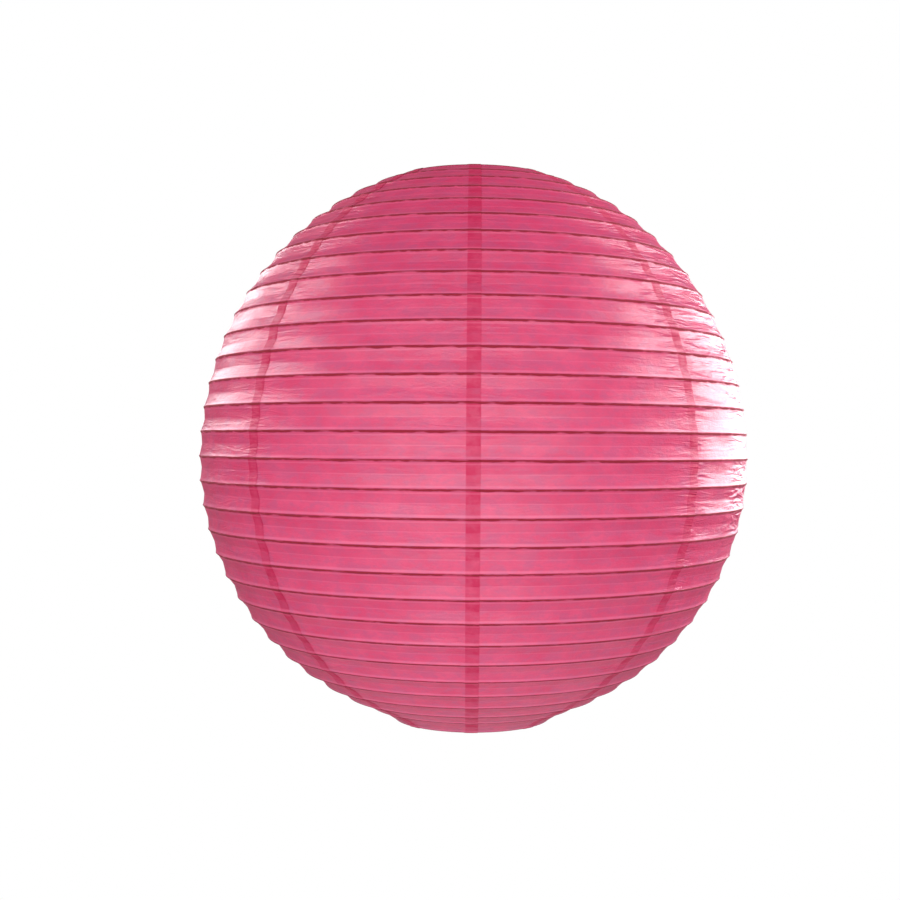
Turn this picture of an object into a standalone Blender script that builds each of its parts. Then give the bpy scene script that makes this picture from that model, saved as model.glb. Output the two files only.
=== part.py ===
"""Round pleated paper lantern, 35 cm, for Blender 4.5.

The real object is an accordion of thin paper over wire hoops, held open by one
bent wire. It is built here piece by piece:

  top_ring, bottom_ring      wire hoops at the two mouths
  rib_01 ... rib_28          thin wire hoops, a band of paper apart
  gore_1 ... gore_8          paper segments, pole to pole, lapped 7 mm at each seam
  expander                   one bent steel wire with a hanging eye and two feet

Frame: +Z up, origin at the underside of the hanging eye's crown, where a hook
bears. Everything hangs below it, round the Z axis. All lengths are in metres.
"""
import math

import bmesh
import bpy
from mathutils import Vector

# The shade's outline: a long ellipse above the equator and a shorter one below it,
# because the upper paper carries the weight of the lower and stretches more.
EQUATOR_RADIUS = 0.175
UPPER_SEMI_AXIS = 0.1895
LOWER_SEMI_AXIS = 0.1707
MOUTH_RADIUS = 0.050
RING_PULL = 0.0034      # how far the expander's feet push the bottom ring down

# Bands widen from the equator to the mouths, and a little more towards the bottom.
MOUTH_WIDENING = 0.053
LOW_WIDENING = 0.018

RIB_COUNT = 28
GORE_COUNT = 8
FACETS_PER_GORE = 4
FACETS = GORE_COUNT * FACETS_PER_GORE

PAPER = 0.0004          # solid thickness of one sheet
GAP = 0.0003            # clearance between neighbouring pieces
LAP = 0.007             # width of the glued overlap at a seam
RIB_WIRE = 0.0012       # wire diameters
RING_WIRE = 0.0018
EXPANDER_WIRE = 0.0022

# The expander, measured in the X-Z plane.
EYE_RADIUS = 0.006      # half the width of the hanging eye
EYE_ABOVE_MOUTH = 0.006     # from the mouth's plane up to the hook's bearing point
CROSSBAR_DROP = 0.008   # crossbar below the top ring
BUMP_RISE = 0.0015      # the bump inside the top ring, above the ring
SHOULDER_REACH = 0.0065     # how far a shoulder passes the ring
SHOULDER_DROP = 0.005
LEG_X = 0.046           # legs stand inside the rings, which pass over them
LEG_DROP = 0.022        # where the shoulder has come in to the leg
FOOT_REACH = 0.0055     # how far a foot's tip passes the ring
FOOT_CURL = 0.0037      # how far the tip curls up again
FOOT_RISE = 0.0035      # the foot's wire rises this much from the ring in to the leg
BUMP_IN = 0.005         # the bump's top, inside the ring
CROSSBAR_IN = 0.011     # where the wire has come down to the crossbar
FOOT_DIP = 0.0006       # corners set past the ring to allow for their rounding
SHOULDER_LIFT = 0.0004
SHOULDER_IN = 0.0005
TIGHT_BEND = 0.0022     # bend radii at the wire's centre
SHOULDER_BEND = 0.0025
SMALL_BEND = 0.003
LEG_BEND = 0.004
SHOULDER_SWEEP = 0.020

# The seams' laps are centred on multiples of 45 degrees at the equator.
SEAM_TURN = -0.5 * LAP / EQUATOR_RADIUS

MOUTH_ANGLE = math.acos(MOUTH_RADIUS / EQUATOR_RADIUS)
TOP_Z = -EYE_ABOVE_MOUTH                                   # paper's top edge
CENTRE_Z = TOP_Z - UPPER_SEMI_AXIS * math.sin(MOUTH_ANGLE)  # equator

RIB_OFFSET = -(PAPER + GAP + RIB_WIRE / 2)     # hoop centres, inside the paper
RING_OFFSET = -(PAPER + GAP + RING_WIRE / 2)

HOT_PINK = (0.76, 0.145, 0.27, 1.0)
WIRE_GREY = (0.42, 0.41, 0.40, 1.0)
STEEL = (0.62, 0.62, 0.63, 1.0)


def clear_scene():
    for old in list(bpy.data.objects):
        bpy.data.objects.remove(old, do_unlink=True)


def make_material(name, colour, roughness, metallic):
    material = bpy.data.materials.new(name)
    material.use_nodes = True
    shader = material.node_tree.nodes["Principled BSDF"]
    shader.inputs["Base Color"].default_value = colour
    shader.inputs["Roughness"].default_value = roughness
    shader.inputs["Metallic"].default_value = metallic
    return material


def semi_axis(angle):
    return UPPER_SEMI_AXIS if angle >= 0 else LOWER_SEMI_AXIS


def ellipse_point(angle):
    """Radius and height on the outline, before the bottom ring is pushed down."""
    return EQUATOR_RADIUS * math.cos(angle), CENTRE_Z + semi_axis(angle) * math.sin(angle)


def outline(angle, offset=0.0):
    """Radius and height of the shade at a profile angle, offset along its normal."""
    radius, z = ellipse_point(angle)
    slope = Vector((math.cos(angle) / EQUATOR_RADIUS, math.sin(angle) / semi_axis(angle)))
    normal = slope.normalized()
    if angle <= -MOUTH_ANGLE:
        z -= RING_PULL
    return radius + offset * normal.x, z + offset * normal.y


def place_along(share):
    """How far along the paper a hoop is, for its share of the bands from the top."""
    middle = share * (1 - share)
    return share + middle * (MOUTH_WIDENING * (1 - 2 * share) - LOW_WIDENING)


def hoop_angles():
    """Profile angles of the 30 hoops, top ring first."""
    samples = 4000
    angles = [MOUTH_ANGLE * (1 - 2 * i / samples) for i in range(samples + 1)]
    points = [Vector(ellipse_point(angle)) for angle in angles]
    lengths = [0.0]
    for before, after in zip(points, points[1:]):
        lengths.append(lengths[-1] + (after - before).length)
    spaces = RIB_COUNT + 1
    hoops = []
    place = 0
    for hoop in range(spaces + 1):
        wanted = lengths[-1] * place_along(hoop / spaces)
        while place < samples and lengths[place] < wanted - 1e-9:
            place += 1
        hoops.append(angles[place])
    return hoops


def new_object(name, mesh, material):
    piece = bpy.data.objects.new(name, mesh)
    bpy.context.scene.collection.objects.link(piece)
    mesh.materials.append(material)
    return piece


def mesh_from_loops(name, loops, closed):
    """Join equal loops of points into a skin; a run that isn't closed gets end caps."""
    shape = bmesh.new()
    rows = [[shape.verts.new(point) for point in loop] for loop in loops]
    count = len(rows[0])
    pairs = list(zip(rows, rows[1:]))
    if closed:
        pairs.append((rows[-1], rows[0]))
    for row, following in pairs:
        for i in range(count):
            j = (i + 1) % count
            shape.faces.new((row[i], row[j], following[j], following[i]))
    if not closed:
        shape.faces.new(list(reversed(rows[0])))
        shape.faces.new(rows[-1])
    bmesh.ops.recalc_face_normals(shape, faces=shape.faces)
    mesh = bpy.data.meshes.new(name)
    shape.to_mesh(mesh)
    shape.free()
    return mesh


def make_hoop(name, angle, offset, wire, material):
    """A wire hoop round the Z axis, with its corners in line with the paper's folds."""
    radius, z = outline(angle, offset)
    corners = [(wire / 2, 0), (0, wire / 2), (-wire / 2, 0), (0, -wire / 2)]
    loops = []
    for facet in range(FACETS):
        turn = SEAM_TURN + 2 * math.pi * facet / FACETS
        outward = Vector((math.cos(turn), math.sin(turn), 0))
        loops.append([outward * (radius + dr) + Vector((0, 0, z + dz)) for dr, dz in corners])
    mesh = mesh_from_loops(name, loops, closed=True)
    mesh.shade_smooth()
    return new_object(name, mesh, material)


def facet_point(angle, offset, facet, along=0.0):
    """A point on one facet's edge line at a hoop, some metres along from its corner."""
    radius, z = outline(angle, offset)
    step = 2 * math.pi / FACETS
    turns = (SEAM_TURN + facet * step, SEAM_TURN + (facet + 1) * step)
    start, end = (Vector((radius * math.cos(t), radius * math.sin(t), z)) for t in turns)
    return start + (end - start).normalized() * along


def gore_section(angle, gore):
    """The closed outline of one gore at a hoop: four facets, then the lap over its neighbour."""
    first = gore * FACETS_PER_GORE
    last = first + FACETS_PER_GORE
    facets = range(first, last)
    lap_inside = GAP
    lap_outside = GAP + PAPER
    inner = [facet_point(angle, -PAPER, first, GAP)]
    inner += [facet_point(angle, -PAPER, facet) for facet in facets[1:]]
    inner.append(facet_point(angle, -PAPER, last))
    lap = [
        facet_point(angle, lap_inside, last),
        facet_point(angle, lap_inside, last, LAP),
        facet_point(angle, lap_outside, last, LAP),
        facet_point(angle, lap_outside, last),
    ]
    outer = [facet_point(angle, 0, facet) for facet in reversed(facets[1:])]
    outer.append(facet_point(angle, 0, first, GAP))
    return inner + lap + outer


def make_gore(gore, hoops, material):
    name = f"gore_{gore + 1}"
    loops = [gore_section(angle, gore) for angle in hoops]
    return new_object(name, mesh_from_loops(name, loops, closed=False), material)


def bend_wire(corners):
    """Points along a bent wire: each corner is (x, z, bend radius), straight between bends."""
    path = [Vector(corners[0][:2])]
    for before, corner, after in zip(corners, corners[1:], corners[2:]):
        here = Vector(corner[:2])
        to_before = (Vector(before[:2]) - here).normalized()
        to_after = (Vector(after[:2]) - here).normalized()
        half = to_before.angle(to_after) / 2
        setback = corner[2] / math.tan(half)
        centre = here + (to_before + to_after).normalized() * corner[2] / math.sin(half)
        start = here + to_before * setback - centre
        sweep = (here + to_after * setback - centre).angle_signed(start)
        steps = max(2, math.ceil(abs(sweep) / math.radians(22)))
        for i in range(steps + 1):
            turn = sweep * i / steps
            turned = Vector((
                start.x * math.cos(turn) - start.y * math.sin(turn),
                start.x * math.sin(turn) + start.y * math.cos(turn),
            ))
            path.append(centre + turned)
    path.append(Vector(corners[-1][:2]))
    return path


def expander_corners(hoops):
    """Half of the expander, from a foot's curled tip up to the crown of the eye."""
    ring_x, top_z = outline(hoops[0], RING_OFFSET)
    bottom_z = outline(hoops[-1], RING_OFFSET)[1]
    touch = RING_WIRE / 2 + EXPANDER_WIRE / 2 + GAP
    crossbar_z = top_z - CROSSBAR_DROP
    eye_top = EXPANDER_WIRE / 2
    eye_bend = EYE_RADIUS * 0.9999      # just short of meeting its mirror image
    return [
        (ring_x + FOOT_REACH, bottom_z + touch + FOOT_CURL, 0),
        (ring_x, bottom_z + touch - FOOT_DIP, TIGHT_BEND),
        (LEG_X, bottom_z + touch + FOOT_RISE, LEG_BEND),
        (LEG_X, top_z - LEG_DROP, SHOULDER_SWEEP),
        (ring_x + SHOULDER_REACH, top_z - touch - SHOULDER_DROP / 2, SHOULDER_BEND),
        (ring_x - SHOULDER_IN, top_z - touch + SHOULDER_LIFT, SMALL_BEND),
        (ring_x - BUMP_IN, top_z + BUMP_RISE, TIGHT_BEND),
        (ring_x - CROSSBAR_IN, crossbar_z, LEG_BEND),
        (EYE_RADIUS, crossbar_z, SMALL_BEND),
        (EYE_RADIUS, eye_top, eye_bend),
    ]


def make_expander(hoops, material):
    """One bent wire: foot, leg, shoulder, crossbar, hanging eye, and the same mirrored."""
    half = expander_corners(hoops)
    mirrored = [(-x, z, bend) for x, z, bend in reversed(half)]
    path = bend_wire(half + mirrored)
    curve = bpy.data.curves.new("expander", "CURVE")
    curve.dimensions = "3D"
    curve.bevel_depth = EXPANDER_WIRE / 2
    curve.bevel_resolution = 2
    curve.use_fill_caps = True
    spline = curve.splines.new("POLY")
    spline.points.add(len(path) - 1)
    for point, place in zip(spline.points, path):
        point.co = (place.x, 0, place.y, 1)
    return new_object("expander", curve, material)


def main():
    clear_scene()
    paper = make_material("hot_pink_paper", HOT_PINK, 0.55, 0.0)
    rib_wire = make_material("rib_wire", WIRE_GREY, 0.45, 1.0)
    steel = make_material("galvanised_steel", STEEL, 0.35, 1.0)
    hoops = hoop_angles()
    make_hoop("top_ring", hoops[0], RING_OFFSET, RING_WIRE, rib_wire)
    for number, angle in enumerate(hoops[1:-1], start=1):
        make_hoop(f"rib_{number:02d}", angle, RIB_OFFSET, RIB_WIRE, rib_wire)
    make_hoop("bottom_ring", hoops[-1], RING_OFFSET, RING_WIRE, rib_wire)
    for gore in range(GORE_COUNT):
        make_gore(gore, hoops, paper)
    make_expander(hoops, steel)


main()
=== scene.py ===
"""Round pleated paper lantern: looks, light and camera. Metres, +Z up, hung by its eye at the origin."""
import math

import bmesh
import bpy
import numpy as np
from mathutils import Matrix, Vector, noise


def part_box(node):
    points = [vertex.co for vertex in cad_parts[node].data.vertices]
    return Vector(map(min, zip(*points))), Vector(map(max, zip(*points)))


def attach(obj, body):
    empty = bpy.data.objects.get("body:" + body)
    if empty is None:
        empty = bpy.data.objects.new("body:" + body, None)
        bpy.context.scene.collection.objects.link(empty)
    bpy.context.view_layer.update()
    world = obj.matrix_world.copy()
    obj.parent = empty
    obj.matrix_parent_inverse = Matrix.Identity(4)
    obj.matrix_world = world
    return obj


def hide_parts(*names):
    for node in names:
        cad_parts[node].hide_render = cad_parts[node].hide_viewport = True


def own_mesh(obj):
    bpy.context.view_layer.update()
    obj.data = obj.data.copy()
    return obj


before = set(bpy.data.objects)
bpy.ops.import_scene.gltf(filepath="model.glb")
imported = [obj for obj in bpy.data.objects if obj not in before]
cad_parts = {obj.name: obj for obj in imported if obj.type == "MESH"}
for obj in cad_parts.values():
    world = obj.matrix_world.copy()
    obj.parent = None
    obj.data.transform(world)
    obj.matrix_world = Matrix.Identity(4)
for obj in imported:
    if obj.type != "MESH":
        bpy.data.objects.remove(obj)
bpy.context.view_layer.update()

# What the CAD says
RIBS = [f"rib_{number:02d}" for number in range(1, 29)]
HOOPS = ["top_ring"] + RIBS + ["bottom_ring"]
GORES = 8
BANDS = len(HOOPS) - 1
HALF_GORE = math.pi / GORES

# Paper
SKIN = 0.00017          # from a hoop's wire to the middle of the paper
LAP = 0.007             # width of the glued overlap between two gores
LAP_RISE = 0.00022      # how far the upper sheet of a lap stands off the lower
LAP_SLOPE = 0.002       # the upper sheet rises over this width
CREASE = 0.00085        # how far the fold between two hoops is drawn in
CREASE_BOW = 0.18       # how much the two halves of a band bow
CREASE_AT_END = 0.55    # share of the depth that is left in the band at a mouth
FOLD_WANDER = 0.08      # how far a fold strays from the middle of its band
SHARP_SIDE = -math.radians(172)
SHARP_GAIN = 0.60       # the folds are drawn in this much further on the sharp side
SHARP_REACH = (0.35, 0.95)      # full and no gain, in radians from the sharp side
RIDGE = 0.00030         # how far the paper falls away beside a wire
RIDGE_WIDTH = 0.0009
TUCK = 0.00022          # the paper tucks in under a wire more than it does above
TUCK_START = 0.0007
TUCK_FADE = 0.004
PUCKER = 0.00010        # height of the faint waves that all the paper has
RUMPLE = 0.00042        # height of the wrinkles where the paper is rumpled
STIFF_EDGE = 0.004      # wrinkles die out this close to a wire
FRONT_SEAM = -math.pi / 2
FRONT_PULL = 0.10       # how rumpled the paper is along the front gores' seams
SEAM_PULL = 0.45        # and along the other seams
SEAM_REACH = (0.004, 0.028)
HEM = 0.006             # paper turned in round a mouth's ring
HEM_BEND = 0.003        # rough length of the hem's bend, so that the UVs start before the ring
HEM_PLACE = 0.3         # the band place that a hem takes its look from
GORE_COLUMNS = 48
COLUMN_CROWDING = 1.25  # columns stand closer together towards the seams
BAND_ROWS = (0.0, 0.035, 0.08, 0.16, 0.30, 0.44, 0.50, 0.56, 0.70, 0.84, 0.92, 0.965)
GORE_OFFSET = 0.31      # keeps the gores' paper patterns apart

# Rumpled places: azimuth in degrees, band, how far they reach in degrees and bands, how strong.
RUMPLED = (
    (-28, 8, 22, 5, 1.0),
    (-20, 15, 12, 7, 0.8),
    (-150, 19, 12, 6, 0.30),
    (-165, 8, 16, 5, 0.30),
    (45, 12, 25, 8, 0.5),
    (110, 16, 22, 7, 0.5),
)

# Linear colours of the paper, of what shows through it, and of its painted shade and highlights
PAPER_DEEP = (0.650, 0.044, 0.146, 1)
PAPER_PALE = (0.715, 0.072, 0.190, 1)
PAPER_LILAC = (0.520, 0.074, 0.195, 1)
PAPER_FIBRE = (0.780, 0.120, 0.265, 1)
# painted shade: darkens the upper half of each band and the paper just under each wire
PAPER_PAINTED_SHADE = (0.570, 0.022, 0.105, 1)
# pale pink used for painted highlights beside the wires and for the worn, paler fold line
PAPER_HIGHLIGHT_AND_FOLD_WEAR = (0.930, 0.230, 0.410, 1)
PAPER_GLOW = (0.850, 0.090, 0.240, 1)
GLUE_RED = (0.550, 0.002, 0.076, 1)
# dark red of a wire seen through the paper, also used as painted shadow just under it
WIRE_AND_SHADOW_RED = (0.210, 0.000, 0.014, 1)
PAPER_IOR = 1.60
LIGHT_THROUGH = 0.22    # share of the paper's light that comes through it
SEAM_HALF = (0.0036, 0.0042)    # the glued strip's soft edge, from the seam's middle

# The expander, measured from the hoops it bears on
EXPANDER_WIRE = 0.0022
EXPANDER_GAP = 0.0003
EYE_HALF = 0.006
CROSSBAR_DROP = 0.008
LEG_X = 0.046
LEG_DROP = 0.022        # where the leg starts to lean out to the shoulder
FOOT_REACH = 0.0055     # the foot's tip, outside the ring
FOOT_CURL = 0.0037      # and how high it curls
FOOT_RISE = 0.0035      # the foot's wire rises this much from the ring in to the leg
SHOULDER_REACH = 0.0065
SHOULDER_DROP = 0.0025
BUMP_RISE = 0.0015
BUMP_IN = 0.005         # the bump's top, inside the ring
CROSSBAR_IN = 0.011     # where the wire has come down to the crossbar
FOOT_DIP = 0.0006       # corners set past the ring to allow for their rounding
SHOULDER_LIFT = 0.0004
SHOULDER_IN = 0.0005
TIGHT_BEND = 0.0022     # bend radii at the wire's centre
SHOULDER_BEND = 0.0025
SMALL_BEND = 0.003
LEG_BEND = 0.004
SHOULDER_SWEEP = 0.020

# Hoops
HOOP_STEPS = 128
HOOP_SIDES = 10
EXPANDER_SIDES = 14
BEND_STEP = math.radians(7)
DOME_STEP = math.radians(40)

# Studio
FLOOR_RADIUS = 1.7
FLOOR_DROP = 1.1        # from the lantern's middle down to the floor

# Soft boxes: name, azimuth and elevation in degrees, distance, width, height, watts.
LAMPS = (
    ("key_front", -6, 8, 1.3, 2.2, 0.8, 14),
    ("right_back", 122, 8, 1.1, 0.95, 0.46, 12),
    ("right_high", 95, 33, 1.1, 0.55, 0.6, 9),
    ("left_back", -128, 19, 1.2, 0.9, 0.24, 4.6),
    ("left_high", -100, 36, 1.2, 0.5, 0.5, 5),
    ("front_low", -4, -42, 1.0, 0.9, 0.3, 2.4),
    ("front_top", -4, 56, 1.0, 0.9, 0.3, 1.3),
)

# Camera; distances are in lantern radii
CAMERA_LENS = 52.33
CAMERA_SHIFT = (-0.0261, -0.0096)
CAMERA_AWAY = 4.87
CAMERA_ABOVE = 0.0623
CAMERA_DIP = math.radians(-0.35)


def hoop_size(name):
    """Radius, height and wire thickness of a CAD hoop, from its own corners."""
    low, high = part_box(name)
    wire = high.z - low.z
    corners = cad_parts[name].data.vertices
    reach = max(math.hypot(corner.co.x, corner.co.y) for corner in corners)
    return reach - wire / 2, (low.z + high.z) / 2, wire


HOOP_SIZES = [hoop_size(name) for name in HOOPS]


def equator_height():
    """Height of the widest place, from a parabola through the widest hoop and its neighbours."""
    widest = max(range(1, BANDS), key=lambda hoop: HOOP_SIZES[hoop][0])
    near = HOOP_SIZES[widest - 1:widest + 2]
    slope, bend = np.polyfit([z for _, z, _ in near], [radius for radius, _, _ in near], 2)[1::-1]
    return -slope / (2 * bend)


EQUATOR = max(radius for radius, _, _ in HOOP_SIZES)
CENTRE_Z = equator_height()


def hoop_normals():
    """The outward direction (radial, up) of the shade at each hoop."""
    places = [Vector((radius, z)) for radius, z, _ in HOOP_SIZES]
    normals = []
    for index in range(len(places)):
        above = places[max(index - 1, 0)]
        below = places[min(index + 1, BANDS)]
        along = (below - above).normalized()
        normals.append(Vector((-along.y, along.x)))
    return normals


NORMALS = hoop_normals()
CONTACTS = [
    Vector((radius, z)) + normal * (wire / 2 + SKIN)
    for (radius, z, wire), normal in zip(HOOP_SIZES, NORMALS)
]
SPACING = sum((b - a).length for a, b in zip(CONTACTS, CONTACTS[1:])) / BANDS


def value_noise(x, y, z):
    return noise.noise(Vector((x, y, z)))


def smooth_step(value, low, high):
    share = min(max((value - low) / (high - low), 0.0), 1.0)
    return share * share * (3 - 2 * share)


# ---------------------------------------------------------------- materials


def new_material(name):
    material = bpy.data.materials.new(name)
    material.use_nodes = True
    return material, material.node_tree, material.node_tree.nodes["Principled BSDF"]


class Nodes:
    """Short calls for building a material's node tree."""

    def __init__(self, tree):
        self.tree = tree

    def add(self, kind, **settings):
        node = self.tree.nodes.new(kind)
        for key, value in settings.items():
            setattr(node, key, value)
        return node

    def put(self, socket, value):
        if isinstance(value, bpy.types.NodeSocket):
            self.tree.links.new(value, socket)
        else:
            socket.default_value = value

    def math(self, operation, a, b=0.0, c=0.0, clamp=False):
        node = self.add("ShaderNodeMath", operation=operation, use_clamp=clamp)
        for socket, value in zip(node.inputs, (a, b, c)):
            self.put(socket, value)
        return node.outputs[0]

    def ramp(self, value, low, high, to_low=0.0, to_high=1.0):
        node = self.add("ShaderNodeMapRange", interpolation_type="SMOOTHSTEP")
        for socket, entry in zip(node.inputs, (value, low, high, to_low, to_high)):
            self.put(socket, entry)
        return node.outputs[0]

    def noise(self, vector, scale, detail=3.0, roughness=0.55, distortion=0.0):
        node = self.add("ShaderNodeTexNoise")
        self.put(node.inputs["Vector"], vector)
        self.put(node.inputs["Scale"], scale)
        self.put(node.inputs["Detail"], detail)
        self.put(node.inputs["Roughness"], roughness)
        self.put(node.inputs["Distortion"], distortion)
        return node.outputs["Fac"]

    def stretch(self, vector, scale):
        node = self.add("ShaderNodeMapping")
        self.put(node.inputs["Vector"], vector)
        self.put(node.inputs["Scale"], scale)
        return node.outputs["Vector"]

    def mix(self, share, a, b, blend="MIX"):
        node = self.add("ShaderNodeMix", data_type="RGBA", blend_type=blend)
        self.put(node.inputs[0], share)
        self.put(node.inputs[6], a)
        self.put(node.inputs[7], b)
        return node.outputs[2]

    def bump(self, height, distance, strength=1.0, normal=None):
        node = self.add("ShaderNodeBump")
        self.put(node.inputs["Height"], height)
        self.put(node.inputs["Distance"], distance)
        self.put(node.inputs["Strength"], strength)
        if normal is not None:
            self.put(node.inputs["Normal"], normal)
        return node.outputs["Normal"]


def paper_material():
    """Dyed tissue paper: fibres, blotches, glued seams, the wires showing through, painted shade under
    the wires and on each band's upper half, and painted highlights beside the wires.
    """
    material, tree, shader = new_material("pink_tissue_paper")
    n = Nodes(tree)
    sheet = n.add("ShaderNodeUVMap", uv_map="sheet").outputs["UV"]
    split = n.add("ShaderNodeSeparateXYZ")
    n.put(split.inputs[0], n.add("ShaderNodeUVMap", uv_map="seam").outputs["UV"])
    from_seam, along_band = split.outputs[0], split.outputs[1]
    wear = n.add("ShaderNodeSeparateXYZ")
    n.put(wear.inputs[0], n.add("ShaderNodeUVMap", uv_map="wear").outputs["UV"])
    rumpled, way_round = wear.outputs[0], wear.outputs[1]

    # share of the way down a band: 0 at a wire, 0.5 at the fold, 1 at the next wire
    share = n.math("FRACT", along_band)
    band = n.math("FLOOR", along_band)
    place = n.add("ShaderNodeCombineXYZ")
    n.put(place.inputs[0], n.math("MULTIPLY", way_round, 14.0))
    n.put(place.inputs[1], n.math("MULTIPLY", band, 3.7))
    drift = n.noise(place.outputs[0], 1.0, 2.0)
    wobble = n.math("MULTIPLY_ADD", n.noise(sheet, 160.0, 2.0), 0.012, -0.006)
    thick = n.math("ADD", n.math("MULTIPLY_ADD", drift, 0.105, -0.022), wobble)
    # the wire's dark line: the wire showing through the paper, widened below it into a painted shadow
    below = n.ramp(n.math("SUBTRACT", share, thick), 0.012, 0.042, 1.0, 0.0)
    above = n.ramp(share, 0.958, 0.980)
    wire = n.math("MULTIPLY", n.math("MAXIMUM", below, above), n.ramp(drift, 0.3, 0.5, 0.6, 1.0))
    # painted highlights: pale lines just above and just below each wire, where the paper's ridge would
    # catch light
    lip_highlight = n.math("MULTIPLY", n.ramp(share, 0.84, 0.90), n.ramp(share, 0.94, 0.96, 1.0, 0.0))
    underlip_highlight = n.math("MULTIPLY", n.ramp(share, 0.09, 0.12), n.ramp(share, 0.13, 0.17, 1.0, 0.0))
    upper_half = n.ramp(n.math("ADD", share, wobble), 0.49, 0.52, 1.0, 0.0)
    crease = n.math("MULTIPLY", upper_half, n.ramp(share, 0.455, 0.49))
    # painted shade just under each wire, fading down the band
    under_wire_shade = n.ramp(share, 0.05, 0.30, 1.0, 0.0)

    fibres = n.noise(n.stretch(sheet, (0.45, 1.0, 1.0)), 1500.0, 4.0, 0.65, 0.6)
    mottle = n.noise(n.stretch(sheet, (0.6, 1.0, 1.0)), 330.0, 3.0, 0.6)
    blotches = n.noise(sheet, 48.0, 3.0, 0.5)
    clouds = n.noise(n.stretch(sheet, (0.7, 1.0, 1.0)), 135.0, 3.0, 0.6)
    streaks = n.noise(n.stretch(sheet, (0.15, 1.0, 1.0)), 230.0, 2.5, 0.52, 0.8)
    seam = n.ramp(from_seam, *SEAM_HALF, 1.0, 0.0)
    blot = n.ramp(n.noise(sheet, 150.0, 2.0), 0.36, 0.62, 0.70, 1.0)
    glue = n.math("MULTIPLY", seam, blot)
    # painted shade: the glued strip is darker still on each band's upper half
    glue = n.math("MULTIPLY", glue, n.math("MULTIPLY_ADD", upper_half, 0.30, 0.70))

    colour = n.mix(n.ramp(blotches, 0.3, 0.7), PAPER_DEEP, PAPER_PALE)
    colour = n.mix(n.ramp(clouds, 0.44, 0.64, 0.0, 0.65), colour, PAPER_LILAC)
    colour = n.mix(n.ramp(mottle, 0.45, 0.70, 0.0, 0.55), colour, PAPER_LILAC)
    colour = n.mix(n.ramp(fibres, 0.50, 0.78, 0.0, 0.30), colour, PAPER_FIBRE)
    # painted shade: the upper half of each band is darker, as if it faced away from the light
    colour = n.mix(n.math("MULTIPLY", upper_half, 0.20), colour, PAPER_PAINTED_SHADE)
    # painted shade under each wire
    colour = n.mix(n.math("MULTIPLY", under_wire_shade, 0.16), colour, PAPER_PAINTED_SHADE)
    colour = n.mix(n.math("MULTIPLY", crease, 0.22), colour, PAPER_HIGHLIGHT_AND_FOLD_WEAR)
    colour = n.mix(n.math("MULTIPLY", glue, 0.96), colour, GLUE_RED)
    # painted highlights beside each wire
    colour = n.mix(n.math("MULTIPLY", lip_highlight, 0.32), colour, PAPER_HIGHLIGHT_AND_FOLD_WEAR)
    colour = n.mix(n.math("MULTIPLY", underlip_highlight, 0.22), colour, PAPER_HIGHLIGHT_AND_FOLD_WEAR)
    # dark wire line: the wire showing through, plus painted shadow just under it
    colour = n.mix(n.math("MULTIPLY", wire, 0.98), colour, WIRE_AND_SHADOW_RED)
    n.put(shader.inputs["Base Color"], colour)

    rough = n.math("MULTIPLY_ADD", n.noise(sheet, 300.0, 2.0), 0.16, 0.27)
    dull = n.math("MAXIMUM", n.math("MULTIPLY", wire, 0.65), n.math("MULTIPLY", glue, 0.30))
    n.put(shader.inputs["Roughness"], n.math("ADD", rough, dull))
    shader.inputs["IOR"].default_value = PAPER_IOR

    folds = n.math("MULTIPLY", streaks, n.math("MULTIPLY_ADD", rumpled, 1.0, 0.14))
    relief = n.bump(folds, 0.0026, 0.9)
    relief = n.bump(mottle, 0.0006, 0.30, relief)
    relief = n.bump(fibres, 0.00014, 0.7, relief)
    n.put(shader.inputs["Normal"], relief)

    through = n.add("ShaderNodeBsdfTranslucent")
    n.put(through.inputs["Color"], n.mix(0.5, colour, PAPER_GLOW))
    n.put(through.inputs["Normal"], relief)
    blend = n.add("ShaderNodeMixShader")
    n.put(blend.inputs[0], n.math("MULTIPLY", n.math("SUBTRACT", 1.0, wire), LIGHT_THROUGH))
    n.put(blend.inputs[1], shader.outputs[0])
    n.put(blend.inputs[2], through.outputs[0])
    n.put(tree.nodes["Material Output"].inputs["Surface"], blend.outputs[0])
    return material


def wire_material(name, dark, light, rough, scale):
    """Drawn wire: fine lengthwise scratches, dull patches and small specks."""
    material, tree, shader = new_material(name)
    n = Nodes(tree)
    place = n.add("ShaderNodeTexCoord").outputs["Object"]
    patches = n.noise(place, scale, 4.0, 0.6)
    scratches = n.noise(n.stretch(place, (3.0, 3.0, 0.3)), scale * 12, 3.0, 0.7)
    specks = n.ramp(n.noise(place, scale * 30, 2.0), 0.66, 0.72)
    colour = n.mix(n.ramp(patches, 0.35, 0.68), dark, light)
    colour = n.mix(n.math("MULTIPLY", specks, 0.5), colour, (0.10, 0.09, 0.085, 1))
    n.put(shader.inputs["Base Color"], colour)
    shader.inputs["Metallic"].default_value = 1.0
    n.put(shader.inputs["Roughness"], n.math("MULTIPLY_ADD", patches, 0.22, rough - 0.1))
    n.put(shader.inputs["Normal"], n.bump(scratches, 0.00008, 0.5))
    return material


# ---------------------------------------------------------------- paper gores


def band_rows():
    """(band, share of the way down it) for every row of the paper between the two rings."""
    rows = [(band, share) for band in range(BANDS) for share in BAND_ROWS]
    return rows + [(BANDS - 1, 1.0)]


def outline_row(band, share):
    """Point and outward direction on the stretched paper between two hoops."""
    point = CONTACTS[band].lerp(CONTACTS[band + 1], share)
    outward = NORMALS[band].lerp(NORMALS[band + 1], share).normalized()
    return point, outward


def angle_between(a, b):
    return abs((a - b + math.pi) % (2 * math.pi) - math.pi)


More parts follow.
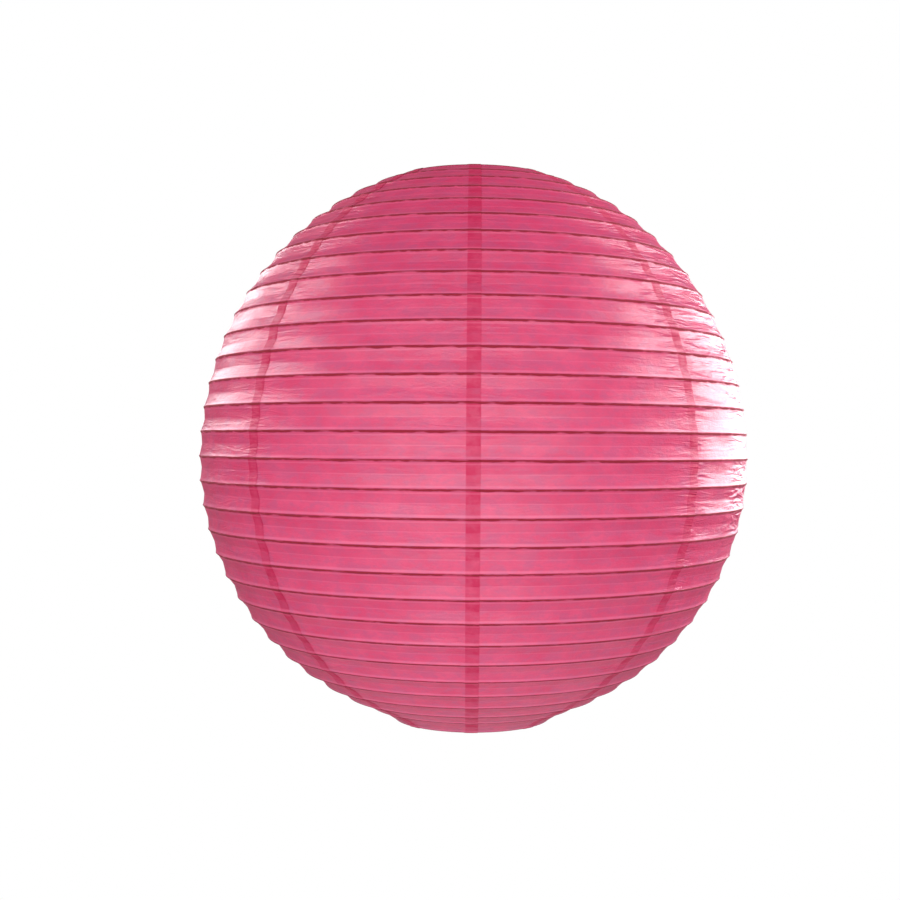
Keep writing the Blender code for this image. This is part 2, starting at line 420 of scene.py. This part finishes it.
def rumple(turn, down, to_seam):
    """How rumpled the paper is at one place: 0 smooth, about 1 badly wrinkled."""
    front = angle_between(turn, FRONT_SEAM) < HALF_GORE
    amount = (FRONT_PULL if front else SEAM_PULL) * (1 - smooth_step(to_seam, *SEAM_REACH))
    for azimuth, band, reach, bands, strength in RUMPLED:
        aside = angle_between(turn, math.radians(azimuth)) / math.radians(reach)
        far = math.hypot(aside, (down - band) / bands)
        amount += strength * (1 - smooth_step(far, 0.25, 1.3))
    patchy = 0.75 + 0.8 * value_noise(math.cos(turn) * 5, math.sin(turn) * 5, down * 0.4)
    return min(amount * patchy, 1.2)


def draw_in(band, share, turn, rumpled):
    """How far the paper stands out (+) or is drawn in (-) at one point."""
    x, y = EQUATOR * math.cos(turn), EQUATOR * math.sin(turn)
    down = (band + share) * SPACING
    depth = CREASE * (1 + 0.6 * value_noise(x * 28, y * 28, band * 1.7))
    depth *= 1 + SHARP_GAIN * (1 - smooth_step(angle_between(turn, SHARP_SIDE), *SHARP_REACH))
    end = min(band, BANDS - 1 - band)
    depth *= CREASE_AT_END + (1 - CREASE_AT_END) * smooth_step(end, 0, 3)
    fold = 0.5 + FOLD_WANDER * value_noise(x * 22 + 9, y * 22, band * 2.3)
    slope = share / fold if share < fold else (1 - share) / (1 - fold)
    crease = depth * (slope - CREASE_BOW * slope * slope) / (1 - CREASE_BOW)
    under, over = share * SPACING, (1 - share) * SPACING
    to_wire = min(under, over)
    ridge = RIDGE * (1 - math.exp(-((to_wire / RIDGE_WIDTH) ** 2)))
    tuck = TUCK * (1 - math.exp(-((under / TUCK_START) ** 2))) * math.exp(-under / TUCK_FADE)
    free = smooth_step(to_wire, 0, STIFF_EDGE)
    wave = value_noise(x * 34, y * 34, down * 150)
    wave += 0.7 * value_noise(x * 70 + down * 60, y * 70, down * 300 + 5)
    return free * (PUCKER + RUMPLE * rumpled) * wave - crease - ridge - tuck


def hem_rows(end):
    """Rows that turn the paper in round a mouth's ring, from the turned-in edge outwards."""
    radius, z, wire = HOOP_SIZES[end]
    reach = wire / 2 + SKIN
    centre = Vector((radius, z))
    outward = NORMALS[end]
    along = (CONTACTS[end] - CONTACTS[1 if end == 0 else end - 1]).normalized()
    inside = centre - outward * reach
    rows = [(inside - along * HEM * share, -outward) for share in (1.0, 0.66, 0.33, 0.0)]
    for step in range(1, 6):
        angle = math.pi * step / 6
        direction = -outward * math.cos(angle) + along * math.sin(angle)
        rows.append((centre + direction * reach, direction))
    return rows


def gore_grid(gore):
    """All rows of a gore, hem to hem. Each entry is a mesh point and its three UVs."""
    middle = (gore + 0.5) * 2 * HALF_GORE
    stack = []
    for point, outward in hem_rows(0):
        stack.append((point, outward, None))
    for band, share in band_rows():
        point, outward = outline_row(band, share)
        stack.append((point, outward, (band, share)))
    for point, outward in reversed(hem_rows(BANDS)):
        stack.append((point, outward, None))

    grid = []
    travelled = -HEM - HEM_BEND
    before = None
    for point, outward, place in stack:
        if before is not None:
            travelled += (point - before).length
        before = point
        row = []
        radius = max(point.x, 0.01)
        half_turn = HALF_GORE + LAP / 2 / radius
        for column in range(GORE_COLUMNS + 1):
            side = 2 * column / GORE_COLUMNS - 1
            side = math.copysign(1 - (1 - abs(side)) ** COLUMN_CROWDING, side)
            turn = middle + side * half_turn
            across = side * half_turn * radius
            to_seam = abs(abs(across) - HALF_GORE * radius)
            lap_edge = HALF_GORE * radius - LAP / 2
            rise = LAP_RISE * smooth_step(across, lap_edge - LAP_SLOPE, lap_edge)
            rumpled = 0.0
            if place is None:
                down = HEM_PLACE if len(grid) < len(stack) / 2 else BANDS - HEM_PLACE
            else:
                down = place[0] + place[1]
                rumpled = rumple(turn, down, to_seam)
                rise += draw_in(place[0], place[1], turn, rumpled)
            lifted = point + outward * rise
            spot = Vector((lifted.x * math.cos(turn), lifted.x * math.sin(turn), lifted.y))
            flat = (across + GORE_OFFSET * gore, travelled)
            row.append((spot, flat, (to_seam, down), (rumpled, turn)))
        grid.append(row)
    return grid


def gore_piece(gore, material):
    grid = gore_grid(gore)
    shape = bmesh.new()
    sheet = shape.loops.layers.uv.new("sheet")
    seam = shape.loops.layers.uv.new("seam")
    wear = shape.loops.layers.uv.new("wear")
    maps = {}
    rows = []
    for entries in grid:
        row = []
        for spot, *places in entries:
            corner = shape.verts.new(spot)
            maps[corner] = places
            row.append(corner)
        rows.append(row)
    for upper, lower in zip(rows, rows[1:]):
        for column in range(GORE_COLUMNS):
            corners = (upper[column], lower[column], lower[column + 1], upper[column + 1])
            face = shape.faces.new(corners)
            face.smooth = True
            for loop in face.loops:
                for layer, place in zip((sheet, seam, wear), maps[loop.vert]):
                    loop[layer].uv = place
    name = f"paper_gore_{gore + 1}"
    mesh = bpy.data.meshes.new(name)
    shape.to_mesh(mesh)
    shape.free()
    mesh.materials.append(material)
    piece = bpy.data.objects.new(name, mesh)
    bpy.context.scene.collection.objects.link(piece)
    return piece


def make_gores(material):
    for gore in range(GORES):
        piece = gore_piece(gore, material)
        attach(piece, "hanger")
        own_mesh(piece)
        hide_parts(f"gore_{gore + 1}")


# ---------------------------------------------------------------- wires


def sweep(name, path, up, radius, sides, closed, material):
    """A round wire along a flat path square to up, with domed ends if it is open."""
    shape = bmesh.new()
    count = len(path)
    loops = []
    for index, point in enumerate(path):
        after = path[(index + 1) % count] if closed or index + 1 < count else point
        before = path[index - 1] if closed or index > 0 else point
        along = (after - before).normalized()
        loops.append((point, along, along.cross(up).normalized(), up))
    if not closed:
        first, last = loops[0], loops[-1]
        for step in (1, 2):
            shrink = math.cos(DOME_STEP * step)
            reach = radius * math.sin(DOME_STEP * step)
            point, along, side, over = first
            loops.insert(0, (point - along * reach, along, side * shrink, over * shrink))
            point, along, side, over = last
            loops.append((point + along * reach, along, side * shrink, over * shrink))
    rows = []
    for point, _, side, over in loops:
        row = []
        for step in range(sides):
            turn = 2 * math.pi * step / sides
            outward = side * math.cos(turn) + over * math.sin(turn)
            row.append(shape.verts.new(point + outward * radius))
        rows.append(row)
    pairs = list(zip(rows, rows[1:]))
    if closed:
        pairs.append((rows[-1], rows[0]))
    for row, following in pairs:
        for i in range(sides):
            j = (i + 1) % sides
            shape.faces.new((row[i], row[j], following[j], following[i])).smooth = True
    if not closed:
        shape.faces.new(list(reversed(rows[0])))
        shape.faces.new(rows[-1])
    bmesh.ops.recalc_face_normals(shape, faces=shape.faces)
    mesh = bpy.data.meshes.new(name)
    shape.to_mesh(mesh)
    shape.free()
    mesh.materials.append(material)
    piece = bpy.data.objects.new(name, mesh)
    bpy.context.scene.collection.objects.link(piece)
    return piece


def make_hoops(material):
    up = Vector((0, 0, 1))
    for name, (radius, z, wire) in zip(HOOPS, HOOP_SIZES):
        path = []
        for step in range(HOOP_STEPS):
            turn = 2 * math.pi * step / HOOP_STEPS
            path.append(Vector((radius * math.cos(turn), radius * math.sin(turn), z)))
        piece = sweep(f"wire_{name}", path, up, wire / 2, HOOP_SIDES, True, material)
        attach(piece, "hanger" if name == "top_ring" else name)
        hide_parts(name)


def bend_wire(corners):
    """Points along a bent wire in the X-Z plane; each corner is (x, z, bend radius)."""
    path = [Vector(corners[0][:2])]
    for before, corner, after in zip(corners, corners[1:], corners[2:]):
        here = Vector(corner[:2])
        back = (Vector(before[:2]) - here).normalized()
        ahead = (Vector(after[:2]) - here).normalized()
        half = back.angle(ahead) / 2
        setback = corner[2] / math.tan(half)
        centre = here + (back + ahead).normalized() * corner[2] / math.sin(half)
        start = here + back * setback - centre
        arc = (here + ahead * setback - centre).angle_signed(start)
        steps = max(4, math.ceil(abs(arc) / BEND_STEP))
        for step in range(steps + 1):
            turn = arc * step / steps
            path.append(centre + Vector((start.x * math.cos(turn) - start.y * math.sin(turn),
                                         start.x * math.sin(turn) + start.y * math.cos(turn))))
    path.append(Vector(corners[-1][:2]))
    return [Vector((point.x, 0, point.y)) for point in path]


def make_expander(material):
    """One spring wire: foot, leg, shoulder over the top ring, crossbar, eye, and mirrored."""
    ring_x, top_z, ring_wire = HOOP_SIZES[0]
    bottom_z = HOOP_SIZES[-1][1]
    touch = ring_wire / 2 + EXPANDER_WIRE / 2 + EXPANDER_GAP
    crossbar_z = top_z - CROSSBAR_DROP
    eye_bend = EYE_HALF * 0.9999      # just short of meeting its mirror image
    half = [
        (ring_x + FOOT_REACH, bottom_z + touch + FOOT_CURL, 0),
        (ring_x, bottom_z + touch - FOOT_DIP, TIGHT_BEND),
        (LEG_X, bottom_z + touch + FOOT_RISE, LEG_BEND),
        (LEG_X, top_z - LEG_DROP, SHOULDER_SWEEP),
        (ring_x + SHOULDER_REACH, top_z - touch - SHOULDER_DROP, SHOULDER_BEND),
        (ring_x - SHOULDER_IN, top_z - touch + SHOULDER_LIFT, SMALL_BEND),
        (ring_x - BUMP_IN, top_z + BUMP_RISE, TIGHT_BEND),
        (ring_x - CROSSBAR_IN, crossbar_z, LEG_BEND),
        (EYE_HALF, crossbar_z, SMALL_BEND),
        (EYE_HALF, EXPANDER_WIRE / 2, eye_bend),
    ]
    path = bend_wire(half + [(-x, z, bend) for x, z, bend in reversed(half)])
    across = Vector((0, 1, 0))
    piece = sweep("wire_expander", path, across, EXPANDER_WIRE / 2, EXPANDER_SIDES, False, material)
    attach(piece, "hanger")
    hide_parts("expander")


# ---------------------------------------------------------------- stage


def add_floor():
    """A pale round floor well below the lantern, out of the front view."""
    shape = bmesh.new()
    bmesh.ops.create_circle(shape, cap_ends=True, segments=96, radius=FLOOR_RADIUS)
    mesh = bpy.data.meshes.new("floor")
    shape.to_mesh(mesh)
    shape.free()
    floor = bpy.data.objects.new("floor", mesh)
    floor.location.z = CENTRE_Z - FLOOR_DROP
    bpy.context.scene.collection.objects.link(floor)
    material, tree, shader = new_material("pale_floor")
    n = Nodes(tree)
    place = n.add("ShaderNodeTexCoord").outputs["Object"]
    shade = n.mix(n.noise(place, 3.0, 3.0), (0.68, 0.665, 0.665, 1), (0.74, 0.725, 0.725, 1))
    n.put(shader.inputs["Base Color"], shade)
    shader.inputs["Roughness"].default_value = 0.7
    mesh.materials.append(material)


def add_world(overhead, around, behind):
    """White studio all round. What lights the lantern is dimmer than what is seen behind it:
    strength overhead, at camera side and behind the lantern."""
    world = bpy.data.worlds.new("studio")
    bpy.context.scene.world = world
    world.use_nodes = True
    tree = world.node_tree
    tree.nodes.clear()
    n = Nodes(tree)
    seen = n.add("ShaderNodeBackground")
    seen.inputs["Color"].default_value = (1, 1, 1, 1)
    seen.inputs["Strength"].default_value = 1.0
    lighting = n.add("ShaderNodeBackground")
    lighting.inputs["Color"].default_value = (1, 1, 1, 1)
    split = n.add("ShaderNodeSeparateXYZ")
    n.put(split.inputs[0], n.add("ShaderNodeTexCoord").outputs["Generated"])
    level = n.ramp(split.outputs[1], -0.6, 0.6, around, behind)
    n.put(lighting.inputs["Strength"], n.ramp(split.outputs[2], 0.10, 0.80, level, overhead))
    path = n.add("ShaderNodeLightPath")
    blend = n.add("ShaderNodeMixShader")
    n.put(blend.inputs[0], path.outputs["Is Camera Ray"])
    n.put(blend.inputs[1], lighting.outputs[0])
    n.put(blend.inputs[2], seen.outputs[0])
    n.put(n.add("ShaderNodeOutputWorld").inputs["Surface"], blend.outputs[0])


def add_area(name, azimuth, elevation, distance, width, height, power):
    """A soft box aimed at the lantern; azimuth 0 is the camera's side, 90 its right."""
    data = bpy.data.lights.new(name, "AREA")
    data.shape = "RECTANGLE"
    data.size = width
    data.size_y = height
    data.energy = power
    lamp = bpy.data.objects.new(name, data)
    turn, lift = math.radians(azimuth), math.radians(elevation)
    level = math.cos(lift)
    direction = Vector((math.sin(turn) * level, -math.cos(turn) * level, math.sin(lift)))
    target = Vector((0, 0, CENTRE_Z))
    lamp.location = target + direction * distance
    lamp.rotation_euler = (-direction).to_track_quat("-Z", "Y").to_euler()
    bpy.context.scene.collection.objects.link(lamp)


def add_camera():
    """Level with the lantern's middle, close enough for a slight perspective."""
    data = bpy.data.cameras.new("camera")
    data.sensor_width = 36.0
    data.lens = CAMERA_LENS
    data.shift_x, data.shift_y = CAMERA_SHIFT
    data.clip_start = 0.01
    camera = bpy.data.objects.new("camera", data)
    reach = max(contact.x for contact in CONTACTS)
    camera.location = (0, -CAMERA_AWAY * reach, CENTRE_Z + CAMERA_ABOVE * reach)
    camera.rotation_euler = (math.radians(90), CAMERA_DIP, 0)
    bpy.context.scene.collection.objects.link(camera)
    bpy.context.scene.camera = camera


def main():
    paper = paper_material()
    hoop_wire = wire_material("dull_drawn_wire", (0.30, 0.29, 0.28, 1), (0.50, 0.49, 0.47, 1), 0.42, 90.0)
    zinc = wire_material("zinc_plated_wire", (0.50, 0.51, 0.53, 1), (0.72, 0.72, 0.71, 1), 0.32, 60.0)
    make_gores(paper)
    make_hoops(hoop_wire)
    make_expander(zinc)
    add_floor()
    add_world(overhead=0.14, around=0.76, behind=0.20)
    for lamp in LAMPS:
        add_area(*lamp)
    add_camera()
    bpy.context.scene.view_settings.view_transform = "Standard"


main()
